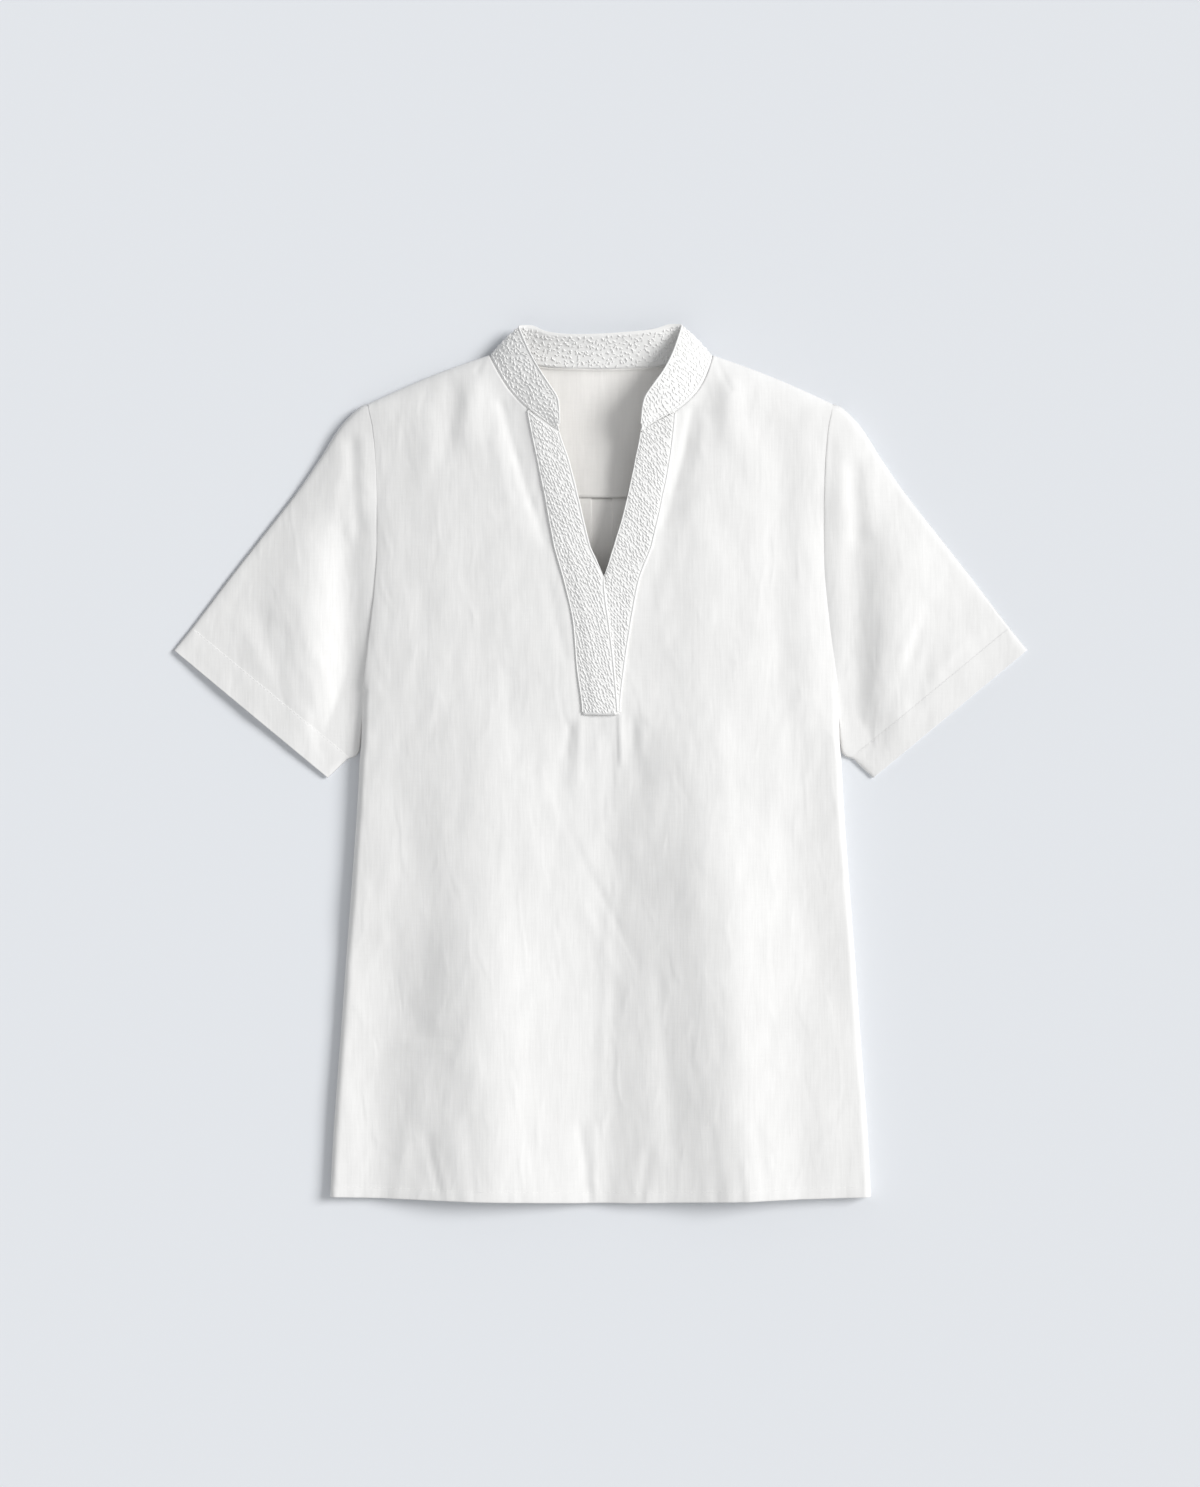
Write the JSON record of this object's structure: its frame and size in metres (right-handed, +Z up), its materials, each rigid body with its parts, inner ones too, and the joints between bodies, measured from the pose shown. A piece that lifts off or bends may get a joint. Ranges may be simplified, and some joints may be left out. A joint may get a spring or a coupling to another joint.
{
  "type": "mandarin collar top",
  "caption": "White linen short-sleeved top laid flat, with an embroidered stand collar and an embroidered V placket, a back yoke and a box pleat.",
  "frame": {"origin": "middle of the ground box, on the surface the top lies on", "axes": "+X to the wearer's left, seen as the right side from above; +Y from hem to collar; +Z up through the front"},
  "size_m": [0.7108, 0.7297, 0.0328],
  "materials": {
    "linen": "matte",
    "embroidery": "matte"
  },
  "bodies": {
    "root": {"front_body": "linen", "back_body": "linen", "back_yoke": "linen", "sleeve_left": "linen", "sleeve_right": "linen", "collar": "embroidery", "placket_left": "embroidery", "placket_right": "embroidery"}
  },
  "joints": []
}
